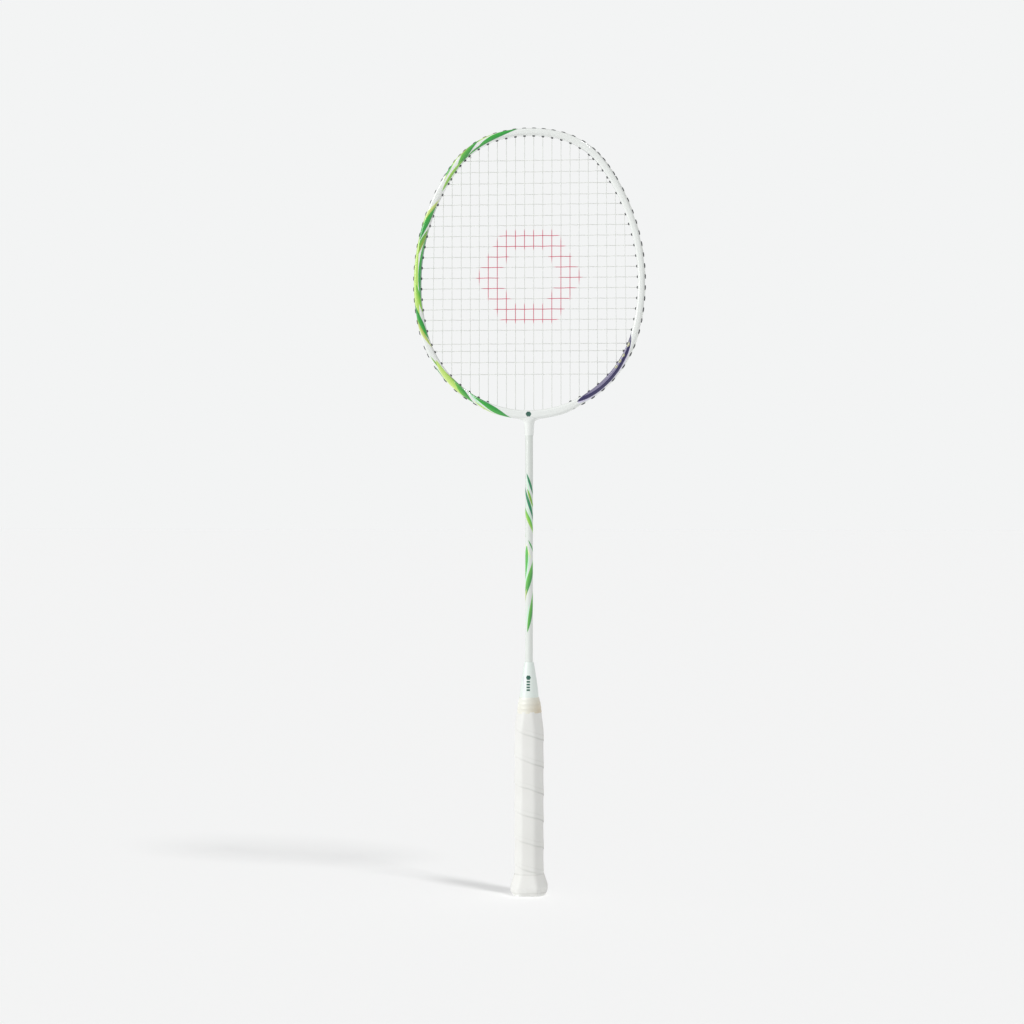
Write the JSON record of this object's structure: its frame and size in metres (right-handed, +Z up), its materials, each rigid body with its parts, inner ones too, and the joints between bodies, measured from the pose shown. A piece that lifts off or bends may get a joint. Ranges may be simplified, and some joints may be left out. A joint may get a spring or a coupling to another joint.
{
  "type": "badminton racket",
  "caption": "Strung badminton racket: oval carbon head with woven strings, slim shaft, cone and wrapped octagonal grip, standing on its butt.",
  "frame": {"origin": "middle of the butt's underside", "axes": "+Z up the shaft to the head, +X across the head, +Y out of the back of the string bed"},
  "size_m": [0.2049, 0.0296, 0.6754],
  "materials": {
    "frame_paint": "pearl white lacquer with green and violet ribbons over carbon fibre",
    "shaft_paint": "pearl white lacquer with a green ribbon over carbon fibre",
    "core_resin": "moulded resin and carbon core, hidden",
    "cone_plastic": "moulded ABS, mint white",
    "handle_wood": "bare light hardwood, hidden under the grip",
    "pin_steel": "plain steel pin",
    "butt_plastic": "moulded ABS, off white",
    "plate_plastic": "plain moulded disc, green",
    "grip_leather": "wound white polyurethane strip, lightly grained",
    "tape_film": "cream finishing tape",
    "string_nylon": "braided multifilament nylon, white with a red stencil",
    "grommet_nylon": "moulded nylon, dark grey"
  },
  "bodies": {
    "root": {"head_frame": "frame_paint", "t_joint": "core_resin", "shaft": "shaft_paint", "cone": "cone_plastic", "handle_core": "handle_wood", "handle_pin": "pin_steel", "butt_cap": "butt_plastic", "butt_plate": "plate_plastic", "butt_pins": "pin_steel", "grip_wrap": "grip_leather", "finishing_tape": "tape_film", "main_string": "string_nylon", "cross_string": "string_nylon", "grommets_top": "grommet_nylon", "grommets_bottom": "grommet_nylon", "grommets_left": "grommet_nylon", "grommets_right": "grommet_nylon", "grommets_shared": "grommet_nylon", "grommets_tie_off": "grommet_nylon", "grommets_throat": "grommet_nylon"}
  },
  "joints": []
}
